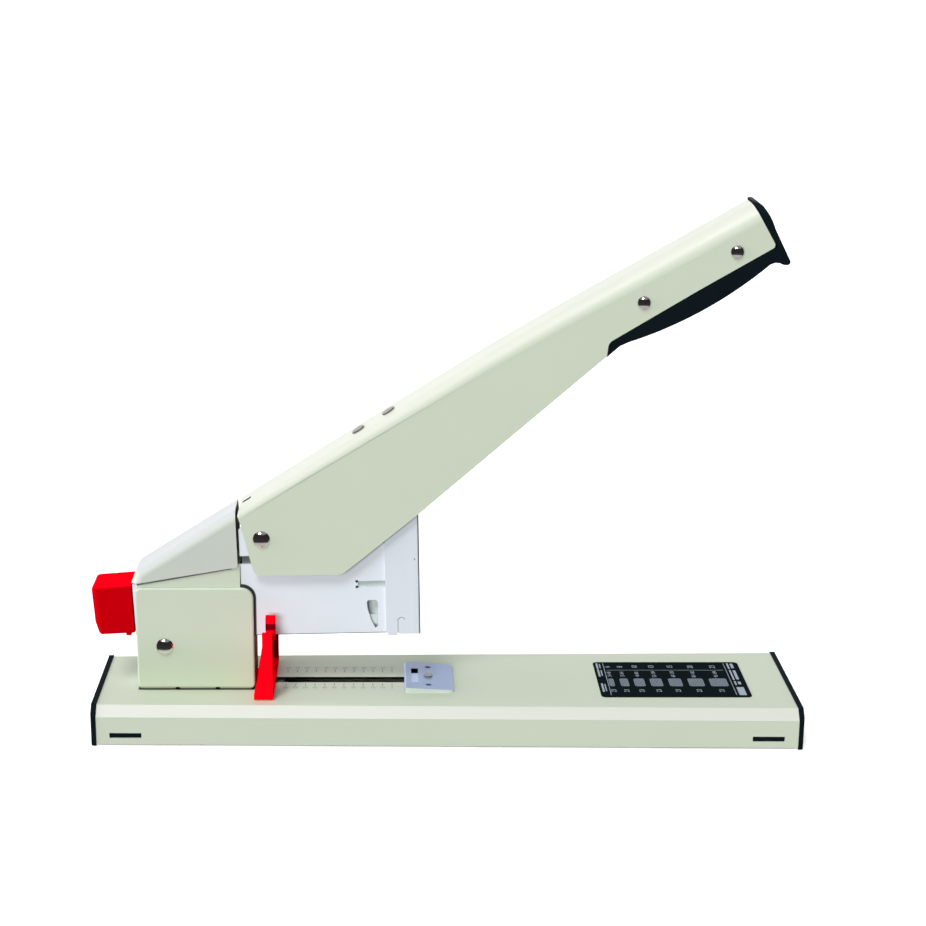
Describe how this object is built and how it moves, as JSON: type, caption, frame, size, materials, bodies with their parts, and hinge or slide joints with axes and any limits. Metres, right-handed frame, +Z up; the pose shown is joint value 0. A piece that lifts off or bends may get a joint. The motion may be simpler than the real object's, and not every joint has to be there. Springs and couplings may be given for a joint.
{
  "type": "heavy duty stapler",
  "caption": "Heavy-duty desk stapler: steel base with anvil, sliding red paper guide, hinge tower, sprung head with pull-out staple rail and a long lever handle.",
  "frame": {"origin": "centre of the base's footprint on the table, at table height", "axes": "+X from the hinge tower towards the open end of the handle, +Y across the base, +Z up"},
  "size_m": [0.3612, 0.087, 0.272],
  "materials": {
    "cream_paint": "satin",
    "cream_plastic": "satin",
    "white_plating": "gloss",
    "anvil_plating": "satin",
    "zinc_steel": "satin",
    "hard_steel": "satin",
    "spring_steel": "gloss",
    "polished_pin": "polished",
    "red_plastic": "gloss",
    "black_plastic": "satin",
    "foot_rubber": "matt",
    "printed_label": "satin"
  },
  "bodies": {
    "base": {"base_shell": "cream_paint", "end_cap_rear": "black_plastic", "end_cap_front": "black_plastic", "foot_pads": "foot_rubber", "tower": "cream_paint", "tower_screws": "zinc_steel", "pivot_pin": "polished_pin", "spring_post": "zinc_steel", "lift_spring": "spring_steel", "anvil_plate": "anvil_plating", "anvil_rivets": "anvil_plating", "anvil_screw": "anvil_plating", "spec_label": "printed_label"},
    "head": {"head_frame": "cream_paint", "pivot_bushing": "zinc_steel", "rear_cover": "cream_plastic", "magazine_housing": "white_plating", "driver_guide": "zinc_steel", "spring_anchor": "zinc_steel", "front_guide": "white_plating", "handle_bushing": "zinc_steel", "handle_spring": "spring_steel", "handle_pin": "polished_pin"},
    "magazine": {"staple_channel": "zinc_steel", "staple_core": "zinc_steel", "spring_rod": "zinc_steel", "drawer_plate": "white_plating", "magazine_knob": "red_plastic", "pusher_spring": "spring_steel"},
    "pusher": {"staple_pusher": "zinc_steel"},
    "driver": {"driver_carrier": "zinc_steel", "driver_blade": "hard_steel", "driver_pin": "hard_steel"},
    "handle": {"handle_shell": "cream_paint", "handle_grip": "black_plastic", "grip_rivets": "polished_pin", "drive_arm": "zinc_steel", "arm_rivets": "zinc_steel"},
    "paper_guide": {"paper_guide": "red_plastic", "guide_slider": "black_plastic"}
  },
  "joints": [
    {"name": "head_swing", "type": "hinge", "parent": "base", "child": "head", "pos_m": [-0.1441, 0, 0.044], "axis": [0, 1, 0], "range_deg": [0, 11], "stiffness_Nm_per_rad": 9, "springref_deg": -22.92, "deforming": ["lift_spring"]},
    {"name": "handle_swing", "type": "hinge", "parent": "head", "child": "handle", "pos_m": [-0.0935, 0, 0.1022], "axis": [0, 1, 0], "range_deg": [0, 22], "stiffness_Nm_per_rad": 1.8, "springref_deg": -42.97},
    {"name": "driver_slide", "type": "slide", "parent": "head", "child": "driver", "axis": [0.0209, 0, -0.9998], "range_m": [0, 0.0272]},
    {"name": "magazine_slide", "type": "slide", "parent": "head", "child": "magazine", "axis": [-0.9998, 0, -0.0209], "range_m": [0, 0.11]},
    {"name": "pusher_slide", "type": "slide", "parent": "magazine", "child": "pusher", "axis": [-0.9998, 0, -0.0209], "range_m": [0, 0.1], "stiffness_N_per_m": 20, "springref_m": -0.06, "deforming": ["pusher_spring"]},
    {"name": "paper_guide_slide", "type": "slide", "parent": "base", "child": "paper_guide", "axis": [1, 0, 0], "range_m": [0, 0.062]}
  ],
  "couplings": [
    {"joint": "driver_slide", "follows": "handle_swing", "m_per_rad": 0.0704}
  ]
}
